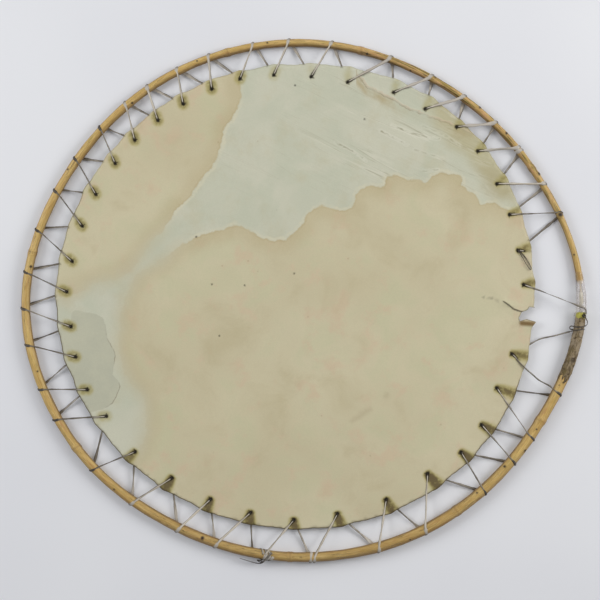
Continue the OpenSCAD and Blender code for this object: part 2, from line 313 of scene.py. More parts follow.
def skin_material():
    s = Shader("rawhide")
    at = s.coords()
    broad = s.noise(at, 9, 3)
    patchy = s.noise(at, 42, 5, 0.6)
    cloudy = s.noise(at, 20, 4, 0.6, 0.6)
    grain = s.noise(at, 900, 3)
    tan = s.mix(s.band(broad, 0.3, 0.7), (203, 193, 160), (211, 202, 170))
    tan = s.mix(s.band(cloudy, 0.45, 0.7, 0, 0.6), tan, (199, 197, 161))
    tan = s.mix(s.band(patchy, 0.52, 0.7, 0, 0.65), tan, (210, 188, 158))
    tan = s.mix(s.band(cloudy, 0.5, 0.25, 0, 0.5), tan, (188, 175, 138))
    pale = s.mix(s.band(cloudy, 0.35, 0.65), (198, 200, 178), (206, 205, 184))
    pale = s.mix(s.band(patchy, 0.5, 0.72, 0, 0.4), pale, (196, 190, 160))
    grey = s.mix(s.band(patchy, 0.3, 0.7), (188, 188, 167), (195, 194, 171))

    # Outlines waver by up to a few millimetres
    wide, tight = s.noise(at, 55, 5, 0.55), s.noise(at, 190, 4, 0.6)
    wobble = s.sum(s.times(s.calc("SUBTRACT", wide, 0.5), 9.0),
                   s.times(s.calc("SUBTRACT", tight, 0.5), 4.5))
    pale_d = s.sum(s.attr("pale"), wobble)
    faded, crisp = s.attr("faded"), s.calc("SUBTRACT", 1.0, s.attr("faded"))
    tanned = s.times(s.band(pale_d, -20, -1), s.band(cloudy, 0.3, 0.6, 0.25, 0.7))
    s.colour = s.mix(tanned, tan, (194, 180, 143))
    sharp = s.times(s.band(pale_d, -0.9, 0.9), crisp)
    s.lay(s.sum(sharp, s.times(s.band(pale_d, -15, 15), faded)), pale)
    tide = s.times(s.near(pale_d, 1.5, 2.4), s.band(patchy, 0.38, 0.62, 0.1, 0.65), crisp)
    s.lay(tide, (218, 212, 184))
    rim = s.times(s.near(pale_d, -1.0, 1.4), s.band(patchy, 0.3, 0.6), 0.35, crisp)
    s.lay(rim, (180, 164, 124))

    grey_d = s.sum(s.attr("grey"), s.times(wobble, 0.45))
    s.lay(s.band(grey_d, -0.6, 0.6), grey)
    broken = s.times(s.attr("grey_line"), s.band(patchy, 0.42, 0.58, 0, 0.75))
    s.lay(s.times(s.near(grey_d, 0.0, 0.75), broken), (142, 132, 112))

    # Painted shade, partly olive tone, over the curled upper right edge
    shade = s.times(s.band(s.sum(s.attr("rim"), wobble), -14, 5), 0.9)
    s.lay(shade, s.mix(s.band(cloudy, 0.35, 0.65), (190, 183, 148), (176, 166, 128)))
    fold = s.sum(s.attr("fold"), s.times(wobble, 0.75))
    # Painted shade on the fold's lower side: the broad olive-brown band and the narrow brown line
    # just below its pale crest
    s.lay(s.times(s.near(fold, -5.0, 7.0), s.band(cloudy, 0.4, 0.6, 0.1, 0.8)), (180, 166, 128))
    s.lay(s.times(s.near(fold, 0.0, 1.2), s.band(patchy, 0.35, 0.6, 0.15, 0.6)), (206, 184, 158))
    s.lay(s.times(s.near(fold, -1.6, 0.8), s.band(patchy, 0.42, 0.55), 0.65), (160, 142, 112))

    turned = s.mapped(at, (1, 1, 1), 26)
    strands = s.noise(s.mapped(turned, (0.05, 1.0, 1.0)), 130, 3, 0.5, 0.4)
    dashes = s.band(s.noise(s.mapped(turned, (0.25, 1.0, 1.0)), 34, 2), 0.46, 0.62)
    streaked = s.times(s.attr("streak"), s.band(pale_d, -3, 6, 0.12, 1.0))
    s.lay(s.times(s.near(strands, 0.5, 0.018), streaked, dashes, 0.6), (158, 153, 126))
    s.lay(s.times(s.near(strands, 0.53, 0.03), streaked, dashes, 0.55), (220, 217, 198))
    veins = s.sum(s.attr("vein"), s.times(wobble, 0.25))
    s.lay(s.times(s.near(veins, 0.0, 0.8), dashes, 0.75), (148, 142, 114))
    s.lay(s.times(s.near(veins, 1.5, 1.0), dashes, 0.5), (220, 218, 200))

    cells = s.node("TexVoronoi", "Distance", dict(Vector=at, Scale=60))
    flecks = s.times(s.band(cells, 0.03, 0.08, 1, 0), s.band(patchy, 0.52, 0.6), 0.35)
    s.lay(flecks, (160, 140, 104))

    mottled = s.band(s.noise(at, 320, 4), 0.2, 0.6, 0.75, 1.15)
    stain = s.calc("MULTIPLY", s.attr("stain"), mottled, True)
    deep = s.mix(s.band(stain, 0.35, 0.95), (172, 160, 92), (90, 74, 36))
    s.lay(s.band(stain, 0.0, 0.75, 0.0, 0.92), deep)
    s.lay(s.attr("brown"), (128, 98, 52))
    # Painted shade: a dark line along the skin's edge for its thickness and shadow, strongest along
    # the bottom
    s.lay(s.times(s.band(s.attr("edge"), 0.3, 1.3, 1, 0), s.attr("edge_shade_share")), (96, 84, 62))
    # Near-black: specks and cracks, and painted shade at the holes and where the thong goes under
    # the edge
    s.lay(s.attr("dark"), (14, 10, 6))
    s.lay(s.band(grain, 0.3, 0.7, 0, 0.08), (150, 140, 115))

    relief = s.sum(s.times(strands, streaked, 1.6), s.times(patchy, 0.8))
    relief = s.sum(relief, s.times(s.near(fold, 0.0, 1.6), 0.7))
    normal = s.bump(relief, 0.5, 0.0006)
    normal = s.bump(grain, 0.25, 0.00012, normal)
    rough = s.sum(s.band(cloudy, 0.3, 0.7, 0.5, 0.62), s.times(s.attr("dark"), 0.35))
    return s.finish(rough, normal, Specular_IOR_Level=0.25)


def cane_material():
    s = Shader("peeled_cane")
    fibres = s.fibres((0.05, 1), 2.6, 5, 0.6)
    bands = s.fibres((0.022, 0.35), 1.0, 3, 0.5)
    blotch = s.fibres((0.05, 0.3), 1.0, 4, 0.6)
    s.colour = s.mix(s.band(bands, 0.35, 0.65), (194, 159, 88), (214, 182, 110))
    s.lay(s.band(fibres, 0.5, 0.72, 0, 0.6), (224, 200, 150))
    s.lay(s.band(fibres, 0.5, 0.3, 0, 0.65), (140, 102, 58))
    s.lay(s.band(blotch, 0.55, 0.72, 0, 0.6), (166, 148, 78))
    s.lay(s.band(blotch, 0.45, 0.27, 0, 0.6), (172, 118, 72))
    streaky = s.times(s.attr("split"), s.band(fibres, 0.42, 0.62))
    s.lay(s.times(streaky, s.band(blotch, 0.4, 0.6)), (148, 134, 58))
    s.lay(s.times(streaky, s.band(blotch, 0.6, 0.4), 0.7), (206, 158, 124))
    # Painted shade: the cane is darker at its sides and on the face turned to the bottom, and the
    # hoop is darker towards the bottom
    s.lay(s.times(s.attr("side"), s.band(fibres, 0.3, 0.65, 0.95, 0.65)), (106, 74, 38))
    cracks = s.fibres((0.016, 1), 0.85, 2, 0.5)
    crack = s.times(s.near(cracks, 0.5, 0.014), s.band(bands, 0.42, 0.56))
    gaping = s.fibres((0.03, 0.8), 0.7, 1, 0.4)
    gap = s.times(s.near(gaping, 0.5, 0.085), s.band(blotch, 0.45, 0.54), s.attr("split"))
    crack = s.calc("MINIMUM", s.sum(crack, gap), 1.0)
    s.lay(s.times(crack, 0.9), (62, 40, 20))
    s.lay(s.attr("ring_line"), (120, 86, 46))
    s.lay(s.attr("knot"), (38, 22, 14))
    s.lay(s.attr("cut_end"), (186, 180, 78))
    # Cream-white of the whittled sliver, partly a painted highlight
    s.lay(s.attr("sliver"), (244, 238, 214))
    normal = s.bump(s.sum(fibres, s.times(crack, -2.0)), 0.6, 0.0003)
    return s.finish(s.band(fibres, 0.3, 0.7, 0.38, 0.55), normal, Specular_IOR_Level=0.45)


def bark_material():
    s = Shader("bark")
    ridges = s.fibres((0.25, 0.7), 0.75, 6, 0.7)
    across = s.fibres((0.7, 0.3), 0.5, 4, 0.6)
    lichen = s.fibres((0.5, 1), 0.16, 4, 0.6)
    s.colour = s.mix(s.band(ridges, 0.35, 0.65), (88, 74, 52), (150, 133, 103))
    s.lay(s.band(lichen, 0.5, 0.6, 0, 0.75), (160, 145, 122))
    s.lay(s.band(lichen, 0.46, 0.36, 0, 0.7), (112, 98, 58))
    s.lay(s.band(across, 0.56, 0.64, 0, 0.85), (66, 50, 32))
    s.lay(s.attr("knot"), (52, 40, 26))
    return s.finish(0.8, s.bump(s.sum(ridges, across), 0.8, 0.0005), Specular_IOR_Level=0.3)


def sleeve_material():
    s = Shader("clear_sleeve")
    haze = s.fibres((0.16, 0.3), 0.9, 3, 0.5)
    s.colour = s.mix(s.band(haze, 0.38, 0.62), (176, 166, 160), (226, 220, 218))
    s.lay(s.times(s.attr("on_cane"), 0.85), (196, 160, 76))
    # Painted shade: a dark line where the clear wall is seen edge-on on its inner side
    s.lay(s.attr("seam"), (50, 48, 50))
    normal = s.bump(haze, 0.12, 0.0005)
    return s.finish(0.2, normal, Alpha=0.22, Coat_Weight=0.4, Coat_Roughness=0.12)


def thong_material(name, dark, light, share):
    """Dried gut strip: mottled along its length, pale where it is broad and stretched thin."""
    s = Shader(name)
    mottle = s.fibres((0.1, 0.6), 1.0, 4, 0.6)
    fibre = s.fibres((0.12, 3.0), 1.6, 3, 0.6)
    fac = s.sum(s.band(mottle, 0.35, 0.7, 0, share), s.times(s.attr("tone"), 0.8))
    s.colour = s.mix(s.calc("ADD", fac, 0.0, True), dark, light)
    s.lay(s.band(fibre, 0.5, 0.75, 0, 0.35), (214, 204, 190))
    # Painted shade: one edge of the strip darker, as if turned from the light, less on pale thong
    painted_side_shade = s.times(s.band(s.attr("across"), -0.2, -0.75, 0, 0.85),
                      s.band(s.attr("tone"), 0.5, 1.3, 1, 0.6))
    s.lay(painted_side_shade, (66, 56, 46))
    s.lay(s.times(s.attr("sheer"), 0.8), (186, 179, 168))
    # Near-black where the thong is folded and where its shade is painted: in the holes, on the outer
    # side of its turns and over the dark turns
    s.lay(s.times(s.attr("fold"), 0.97), (26, 17, 10))
    rough = s.sum(s.times(s.attr("fold"), 0.45), 0.36)
    return s.finish(rough, s.bump(fibre, 0.4, 0.0001), Specular_IOR_Level=0.5)


# ---- Mesh helpers ----


def add_attribute(mesh, name, values):
    values = np.asarray(values, float)
    kind = "FLOAT_VECTOR" if values.ndim == 2 else "FLOAT"
    layer = mesh.attributes.new(name, kind, "POINT")
    layer.data.foreach_set("vector" if values.ndim == 2 else "value", values.ravel())


def make_piece(name, verts, faces, material, slot, replaced=(), **attributes):
    """A smooth-shaded piece of the drum from points in mm, riding on the frame."""
    mesh = bpy.data.meshes.new(name)
    mesh.from_pydata((np.asarray(verts) * MM).tolist(), [], faces)
    for key, values in attributes.items():
        add_attribute(mesh, key, values)
    mesh.materials.append(material)
    mesh.validate()
    mesh.polygons.foreach_set("use_smooth", [True] * len(mesh.polygons))
    piece = bpy.data.objects.new(name, mesh)
    bpy.context.scene.collection.objects.link(piece)
    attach(piece, BODY)
    for node in replaced:
        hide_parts(node)
    return piece


def grid_faces(rows, cols, loop_rows=False):
    """Quads of a closed-round grid, with capped ends unless its rows close too."""
    faces = []
    for j in range(rows if loop_rows else rows - 1):
        here, there = j * cols, (j + 1) % rows * cols
        for i in range(cols):
            n = (i + 1) % cols
            faces.append((here + i, here + n, there + n, there + i))
    if not loop_rows:
        faces.append(tuple(reversed(range(cols))))
        faces.append(tuple(range((rows - 1) * cols, rows * cols)))
    return faces


# ---- The cane ----

CANE_SIDES = 36
# The bark is peeled off the butt's last few millimetres
PEELED_TO = -3.7
# Radius at which length along the cane is measured for its grain, and what a degree comes to there
GRAIN_R, MM_PER_DEGREE = 250, 4.4
# The stretch at the upper right where the cane is split and streaky
SPLIT_MIDDLE, SPLIT_REACH = -308, 34
# The whittled end: its sections, and the angle they take up
SLIVER_ROWS, SLIVER_LENGTH = 12, 5.4
# Small dark buds where side twigs were cut: angle along the hoop, place round the cane, size
BUDS = [
    (-17.6, 80, 1.5), (-18.4, 110, 1.0), (-29, 85, 1.3), (-34.2, 50, 1.9), (-39.6, 115, 1.9),
    (-48, 120, 1.4), (-66, 60, 1.3), (-113, 100, 2.4), (-135, 70, 1.4), (-165, 110, 1.3),
    (-187, 120, 1.8), (-209, 60, 1.4), (-229, 120, 1.6),
    (-246, 75, 1.3), (-262, 70, 1.3), (-284.5, 120, 1.6), (-295, 140, 1.5), (-300.6, 45, 1.6),
    (-312.5, 45, 2.1), (-320.6, 60, 1.6), (-331.8, 42, 2.1), (-341.6, 80, 3.0), (-350.5, 110, 1.2),
]
BARK_SCARS = [
    (-4.4, 100, 1.3), (-8.2, 60, 1.0), (-12.6, 75, 3.4), (-14.8, 130, 1.2), (-10.2, 110, 0.8),
]


def around(n):
    return np.arange(n) * 360.0 / n


def run_of(a, radius=GRAIN_R):
    """Length along the hoop up to angle a, measured at one radius."""
    return -a * math.pi / 180 * radius


def section_points(a, radii, angles, centre_z=None):
    """Points of the hoop's section at angle a, with a radius for each angle round it."""
    z = cane_z(a) if centre_z is None else centre_z
    reach = hoop_r(a) + radii * cos_deg(angles)
    return np.stack([cos_deg(a) * reach, sin_deg(a) * reach, z + radii * sin_deg(angles)], 1)


def tube_row(a, s, radii, angles, centre_z=None, **facts):
    """A section's points, the same points straightened out as grain, and facts about them."""
    row = {key: value + np.zeros(len(angles)) for key, value in facts.items()}
    row["verts"] = section_points(a, radii, angles, centre_z)
    row["grain"] = np.stack([s + 0 * radii, radii * cos_deg(angles), radii * sin_deg(angles)], 1)
    return row


def make_tube(name, rows, inner, material, slot, replaced):
    """A piece from the rows of its outside and, where it is hollow, the points of its inside."""
    rows = rows + [{**row, "verts": verts} for row, verts in zip(rows, inner)][::-1]
    facts = {key: np.concatenate([row[key] for row in rows]) for key in rows[0]}
    faces = grid_faces(len(rows), len(rows[0]["verts"]), loop_rows=bool(inner))
    make_piece(name, facts.pop("verts"), faces, material, slot, replaced, **facts)


def from_spot(a, t, spot, r):
    """Distance over the surface from a spot at angles along and round a cane of radius r."""
    return np.hypot((a - spot[0]) * MM_PER_DEGREE, np.radians(wrap(t - spot[1])) * r)


def wave(x, period, phase):
    return np.sin(2 * math.pi * x / period + phase)


def cane_rows():
    """Angles of the cane's sections, closer together at its growth rings."""
    angles = list(np.arange(BUTT_ANGLE, TIP_ANGLE, -0.7)) + [TIP_ANGLE]
    for g in GROWTH_RINGS:
        angles += [g + d for d in np.arange(-1.8, 1.81, 0.2)]
    for bud in BUDS:
        angles += [bud[0] + d for d in np.arange(-0.8, 0.81, 0.16)]
    return np.array(sorted(set(np.round(angles, 2)), reverse=True))


def make_cane():
    t = around(CANE_SIDES)
    rows = []
    for a in cane_rows():
        s = run_of(a)
        off = min(abs(a - g) for g in GROWTH_RINGS)
        swell = 0.7 * GROWTH_H * bell(max(off - 0.2, 0), 0.45)
        groove = 0.15 * bell(off, 0.12)
        r = cane_r(a) * (1 + 0.025 * wave(t, 180, s / 37) + 0.018 * wave(t, 120, s / 23))
        r = r + 0.10 * wave(s, 61, 0) + 0.07 * wave(s, 23, 2) + swell - groove
        knot = np.zeros(CANE_SIDES)
        for *spot, size in BUDS:
            d = from_spot(a, t, spot, cane_r(a))
            r = r + 0.35 * size * bell(d, 0.9 * size)
            knot = np.maximum(knot, bell(d, 0.75 * size, 4))
        split = bell(a - SPLIT_MIDDLE, SPLIT_REACH, 4)
        # Painted shade in side: the sides seen from above and the face turned towards the bottom are
        # darkened, less in the split stretch; low also darkens the whole stretch along the bottom
        down = -sin_deg(a)
        low = 0.35 * smooth(0.55, 1.0, down)
        edges = smooth(0.7, 0.98, np.abs(cos_deg(t))) * (1 - 0.45 * split)
        side = np.maximum(edges, 0.95 * smooth(0.0, 0.85, down * cos_deg(t))) * (1 - low) + low
        rows.append(tube_row(a, s, r, t, knot=knot, side=side, split=split, sliver=0.0,
                             ring_line=0.35 * bell(off, 0.2),
                             cut_end=1.0 if a > PEELED_TO - 0.2 else 0.0))
    # The thin end is whittled to a sliver inside the sleeve; its cream-white colour is partly a
    # painted highlight
    plain = dict.fromkeys(("knot", "side", "split", "ring_line", "cut_end"), 0.0)
    for k in range(1, SLIVER_ROWS + 1):
        a = TIP_ANGLE - SLIVER_LENGTH * k / SLIVER_ROWS
        curl = 0.35 * wave(t, 120, 2.1 * k) + 0.3 * wave(t, 72, 1.3 * k)
        r = 0.7 + (0.8 + curl) * (k > 5) - 0.6 * (k == SLIVER_ROWS) if k > 1 else 2.5 + 0 * t
        rows.append(tube_row(a, run_of(a), r, t, cane_z(TIP_ANGLE) + 0.16 * k, **plain,
                             sliver=1.0 if k > 5 else 0.4))
    make_tube("peeled_cane_hoop", rows, [], cane_material(), "peeled_cane", ["hoop_stick"])


def make_bark():
    """Bark left on the thick end: a rough tube with a ragged lower edge."""
    sides, count = 56, 90
    t = around(sides)
    start = PEELED_TO + 0.12 * wave(t, 72, 0)
    end = BARK_END + (0.55 * wave(t, 120, 1) + 0.4 * wave(t, 47, 2) + 0.3 * wave(t, 29, 0))
    rows, inner = [], []
    for f in np.linspace(0, 1, count):
        a = start + (end - start) * f
        s = run_of(a)
        lumps = 0.10 * wave(s, 9.3, t / 57) + 0.12 * wave(t, 90, s / 5) + 0.08 * wave(s, 3.7, t / 20)
        lumps += 0.07 * wave(t, 40, s / 2.1)
        rough = 0.08 * rng.standard_normal(sides) * (0.4 + 0.6 * smooth(0.0, 1.0, wave(s, 7, 0)))
        thick = BARK_T * (1 - 0.45 * smooth(0.93, 1.0, f)) + lumps + rough
        knot = 0.8 * smooth(0.95, 1.0, f)
        for *spot, size in BARK_SCARS:
            d = from_spot(a, t, spot, 5)
            thick = thick + 0.3 * size * bell(d, size)
            knot = np.maximum(knot, 0.8 * bell(d, 0.7 * size, 4))
        rows.append(tube_row(a, s, cane_r(a) + 0.12 + thick, t, knot=knot))
        inner.append(section_points(a, cane_r(a) - 0.15, t))
    make_tube("butt_end_bark", rows, inner, bark_material(), "bark", ["butt_bark"])


def sleeve_r(a):
    f = (SLEEVE_START - a) / (SLEEVE_START - SLEEVE_END)
    tip = TIP_D / 2 + 0.05
    butt = cane_r(SLEEVE_END) + BARK_T + 0.05
    return tip + (butt - tip) * np.minimum(1, f * 1.5)


def sleeve_z(a):
    f = np.clip((TIP_ANGLE + 360 - a) / (TIP_ANGLE + 360 - BUTT_ANGLE), 0, 1)
    return cane_z(TIP_ANGLE) * (1 - f) + cane_z(BUTT_ANGLE) * f


def make_sleeve():
    """A translucent tube, creased where it bridges the gap between the cane's ends."""
    sides, count = 40, 60
    t = around(sides)
    c = cos_deg(t)
    torn = 0.85 * smooth(0.1, 0.9, sin_deg(t)) + 0.12 * wave(t, 40, 1) + 0.1 * wave(t, 27, 0)
    rows, inner = [], []
    for f in np.linspace(0, 1, count):
        a = SLEEVE_START + (SLEEVE_END + torn - SLEEVE_START) * f
        s = run_of(a, HOOP_REACH)
        bridge = bell(a - 0.8, 2.2)
        crease = 0.18 * bridge * wave(t, 120, s / 17) + 0.06 * wave(s, 9.1, t / 57) * (0.3 + bridge)
        flare = 1.3 * smooth(0.88, 1.0, f) * smooth(0.4, 1.0, -c)
        r = sleeve_r(a) + SLEEVE_WALL * 0.8 + crease + flare
        # Painted shade along the inner side of the wall, where it is seen edge-on over the gap
        seam = smooth(0.88, 0.97, -c) * smooth(0.8, 1.8, a) * smooth(4.5, 4.0, a)
        rows.append(tube_row(a, s, r, t, sleeve_z(a), seam=seam, on_cane=smooth(3.9, 4.2, a)))
        inner.append(section_points(a, r - 0.35, t, sleeve_z(a)))
    make_tube("translucent_sleeve", rows, inner, sleeve_material(), "clear_sleeve",
              ["joint_sleeve"])


# ---- The skin ----

# Boundary of the pale zone, clockwise from the top, running outside the skin where it meets the edge
PALE = [
    (-58, 250), (-60, 213), (-60, 190), (-66, 176), (-75, 163), (-76, 150), (-87, 125), (-104, 104),
    (-125, 80), (-143, 55), (-159, 34), (-178, 19), (-198, 16), (-212, 8), (-250, 0), (-250, -110),
    (-190, -190), (-166, -156), (-157, -144), (-150, -125), (-151, -95), (-165, -76), (-178, -46),
    (-174, -11), (-170, 4), (-159, 23), (-129, 42), (-117, 52), (-105, 57), (-92, 64), (-75, 69),
    (-62, 71), (-52, 68), (-42, 59), (-30, 57), (-17, 58), (-8, 66), (0, 72), (4, 82), (16, 90),
    (28, 86), (40, 86), (48, 90), (50, 102), (60, 109), (76, 107), (80, 117), (89, 119), (98, 115),
    (109, 115), (117, 110), (122, 118), (131, 122), (147, 118), (151, 113), (148, 108), (157, 104),
    (165, 100), (168, 92), (182, 94), (187, 88), (198, 86), (250, 84), (250, 250),
]
GREY = [
    (-221, -20), (-220, -12), (-216, -10), (-209, -12), (-203, -12), (-195, -15), (-190, -18),
    (-189, -24), (-188, -29), (-187, -36), (-181, -47), (-179, -54), (-180, -62), (-181, -71),
    (-174, -80), (-176, -88), (-182, -98), (-192, -104), (-204, -108), (-240, -100), (-240, -30),
]
# Area along the upper right edge, where the skin curls up: partly olive tone, partly painted shade
RIM = [
    (120, 250), (126, 184), (131, 168), (141, 153), (156, 142), (168, 126), (176, 112), (188, 100),
    (250, 104), (250, 250),
]
# Puckered line of an old fold inside the upper right edge, from left to right
FOLD = [(52, 214), (62, 203), (73, 199), (84, 192), (97, 184), (114, 178), (126, 174), (140, 168),
        (158, 160)]
# Fine creases in the pale zone
VEINS = [
    [(0, 190), (22, 176), (48, 160), (73, 138)], [(84, 166), (105, 158), (119, 154), (129, 153)],
    [(73, 161), (86, 154), (99, 147)], [(105, 143), (127, 136), (133, 135)],
    [(148, 132), (160, 131), (175, 126)], [(96, 128), (112, 122), (128, 124)],
    [(30, 150), (48, 141), (60, 132)], [(112, 166), (132, 158), (150, 146)],
]
SPECKS = [(212, -18), (-9, 25), (-87, 15), (-56, 14), (-102, 60), (-80, -34), (-8, 204), (58, 172)]
TEAR = [
    (230, -6.5), (220, -7.3), (215, -6.6), (212.8, -9.5), (207.9, -11), (206.2, -14.3),
    (204.7, -17.1), (205.7, -20), (211.7, -18.2), (221, -20.9), (230, -21.5),
]
# The part of the tear inside the skin, and the angles between which it breaks the edge
TORN = [p for p in TEAR if math.hypot(*p) < 224]
TEAR_ANGLES = (353.5, 358.2)
# The curled flap beside the tear, and what is left of the hole that tore out
FLAP = ((208, -20), (219, -22))
TORN_HOLE = ((207.5, -22), (218, -22.5))
# The crack that runs in from the tear, and its fine end
CRACK = [(207.5, -11.2), (205, -10.4), (199.7, -8.5), (196.4, -5.7), (190, -1.3)]
CRACK_END = [(190, -1.3), (188.5, -1.5), (185.7, -1), (183.3, 0.3), (176.7, 1.7), (171, 3)]
SMUDGES = [((46, -115), (63, -104)), ((78, -92), (80, -90))]
# Steps of the skin's mesh, and how near to an outline a point may lie. It is fine within
# FINE_REACH of the holes, the specks and these spots at the tear
GRID_STEP, GRID_GAP, FINE_STEP, FINE_GAP, FINE_REACH = 2.6, 1.2, 0.95, 0.45, 9
FINE_SPOTS = [(213, -14), (198, -6)]
SKIN_T = 0.7


def inside(points, outline):
    """Which points lie inside an outline."""
    x, y = points[:, 0], points[:, 1]
    hit = np.zeros(len(points), bool)
    q = outline[-1]
    for p in outline:
        cross = (p[1] > y) != (q[1] > y)
        edge_x = (q[0] - p[0]) * (y - p[1]) / ((q[1] - p[1]) or 1e-9) + p[0]
        hit ^= cross & (x < edge_x)
        q = p
    return hit


def to_segment(points, p, q):
    p, q = np.array(p, float), np.array(q, float)
    d = q - p
    f = np.clip(((points - p) @ d) / max(d @ d, 1e-9), 0, 1)
    return np.linalg.norm(points - (p + f[:, None] * d), axis=1)


def to_line(points, line):
    return np.min([to_segment(points, p, q) for p, q in zip(line, line[1:])], axis=0)


def signed(points, outline):
    """Distance to an outline, positive inside it."""
    d = to_line(points, outline + outline[:1])
    return np.where(inside(points, outline), d, -d)


def hole_at(stitch):
    return out_dir(stitch[0])[:2] * (skin_r(stitch[0]) - stitch[1])


def turn_at(stitch):
    return out_dir(stitch[2])[:2] * hoop_r(stitch[2])


ALL_HOLES = LOWER + MAIN + [LOOSE_HOLE, JOINT_HOLE]


def skin_edge_r(a):
    """The cut edge: pulled out a little at each hole, and cut by hand between them."""
    a = np.asarray(a, float)
    r = skin_r(a) - 0.6 + 0.25 * wave(a, 13.7, 1) + 0.2 * wave(a, 5.3, 2) + 0.12 * wave(a, 2.1, 0)
    for h in ALL_HOLES:
        r = r + 1.5 * bell(wrap(a - h[0]), 2.0)
    return r


def rim_curl(a):
    """How far the skin's edge has curled up: only at the upper right, by up to 1.3 mm."""
    return 1.3 * bell(a - 58, 24, 4)


def edge_crossing(start, end, samples=80):
    """Where a straight leg passes over or under the skin's edge."""
    start, end = np.array(start[:2]), np.array(end[:2])
    line = start + (end - start) * np.linspace(0, 1, samples)[:, None]
    a = np.degrees(np.arctan2(line[:, 1], line[:, 0]))
    return line[np.argmin(np.abs(np.linalg.norm(line, axis=1) - skin_edge_r(a)))]


def hole_axes(stitch):
    """A hole's middle, and the directions along and across the thong that leaves it."""
    c = hole_at(stitch)
    d = unit(turn_at(stitch) - c)
    return c, d, np.array([-d[1], d[0]])


def slot_outline(stitch):
    """A lacing hole pulled into a teardrop along the thong that leaves it."""
    c, d, side = hole_axes(stitch)
    shape = [(-1.5, 0), (-1.3, 0.5), (-0.8, 0.95), (0, 1.0), (1.0, 0.7), (2.0, 0.4), (3.2, 0.12),
             (3.2, -0.12), (2.0, -0.4), (1.0, -0.7), (0, -0.95), (-0.8, -0.9), (-1.3, -0.5)]
    return [tuple(c + d * l + side * k) for l, k in shape]


def crack_outline():
    """Round the crack from the notch: in along one lip and out along the other."""
    line = np.array(CRACK)
    n = len(line)
    left, right = [], []
    for i, p in enumerate(line):
        d = unit(line[min(i + 1, n - 1)] - line[max(i - 1, 0)])
        side = np.array([-d[1], d[0]])
        w = 0.28 * (1 - i / (n - 1)) + 0.03
        left.append(tuple(p + side * w))
        right.append(tuple(p - side * w))
    return right + left[::-1]


def skin_outlines():
    """The skin's plan: its edge, with the tear and its crack let into it, and its holes."""
    a = np.arange(0, 360, 0.4)
    r = skin_edge_r(a)
    edge = np.stack([r * cos_deg(a), r * sin_deg(a)], 1)
    before, after = (edge[kept].tolist() for kept in (a < TEAR_ANGLES[0], a > TEAR_ANGLES[1]))
    notch = TORN[::-1]
    at = min(range(len(notch)), key=lambda i: math.dist(notch[i], CRACK[0]))
    notch = notch[:at] + crack_outline() + notch[at + 1:]
    return [before + notch + after] + [slot_outline(h) for h in ALL_HOLES]


def skin_grid():
    """A jittered grid over the skin, with finer patches at the holes, the tear and the specks."""
    centres = np.array([hole_at(h) for h in ALL_HOLES] + FINE_SPOTS + SPECKS)

    def to_centres(points):
        return np.linalg.norm(points[:, None] - centres[None], axis=2)

    def lattice(xs, ys):
        return np.stack([g.ravel() for g in np.meshgrid(xs, ys)], 1)

    grid = lattice(np.arange(-240, 240, GRID_STEP), np.arange(-232, 232, GRID_STEP))
    grid = grid + rng.uniform(-0.3, 0.3, grid.shape) * GRID_STEP
    grid = grid[to_centres(grid).min(axis=1) > FINE_REACH]
    reach = np.arange(-FINE_REACH, FINE_REACH + 0.1, FINE_STEP)
    disc = lattice(reach, reach)
    disc = disc[np.hypot(disc[:, 0], disc[:, 1]) < FINE_REACH]
    local = np.concatenate([disc + rng.uniform(-0.25, 0.25, disc.shape) * FINE_STEP + c
                            for c in centres])
    local = local[to_centres(local).argmin(axis=1) == np.repeat(np.arange(len(centres)), len(disc))]
    points = np.concatenate([grid, local])
    gap = np.where(to_centres(points).min(axis=1) < FINE_REACH + 0.5, FINE_GAP, GRID_GAP)
    return points, gap


def make_skin():
    outlines = skin_outlines()
    verts, edges = [], []
    for line in outlines:
        first, n = len(verts), len(line)
        verts += line
        edges += [(first + i, first + (i + 1) % n) for i in range(n)]
    tree = kdtree.KDTree(len(verts))
    for i, v in enumerate(verts):
        tree.insert((v[0], v[1], 0), i)
    tree.balance()
    points, gap = skin_grid()
    free = inside(points, outlines[0])
    for line in outlines[1:]:
        free &= ~inside(points, line)
    verts += [tuple(p) for p, g in zip(points[free], gap[free]) if tree.find((*p, 0))[2] > g]
    made, _, faces, _, _, _ = delaunay_2d_cdt([Vector(v) for v in verts], edges, [], 2, 1e-5)
    p = np.array([tuple(v) for v in made])
    z, facts = skin_relief(p, outlines[0])
    faces = [tuple(f) for f in faces]
    skin = make_piece("rawhide_skin", np.column_stack([p, z]), faces, skin_material(), "rawhide",
                      ["skin_head"], **facts)
    thick = skin.modifiers.new("thickness", "SOLIDIFY")
    thick.thickness = SKIN_T * MM
    thick.offset = 0


def stain_share(a):
    """How dark the stain at a hole is: darkest along the bottom, and dark at the right."""
    up, right = sin_deg(a), cos_deg(a)
    return 0.60 - 0.32 * up + 0.10 * max(0, right) ** 2 + 0.05 * math.sin(a * 7.0)


def halo_share(a):
    """How far the stain is a round halo at the hole, as it is along the left and the upper left."""
    return smooth(0.25, 0.75, cos_deg(a - 155))


def mark(layer, d, lo, hi, share=1.0):
    """Deepens a layer where distance d is under lo, to its full share where d is under hi."""
    np.maximum(layer, smooth(lo, hi, d) * share, out=layer)


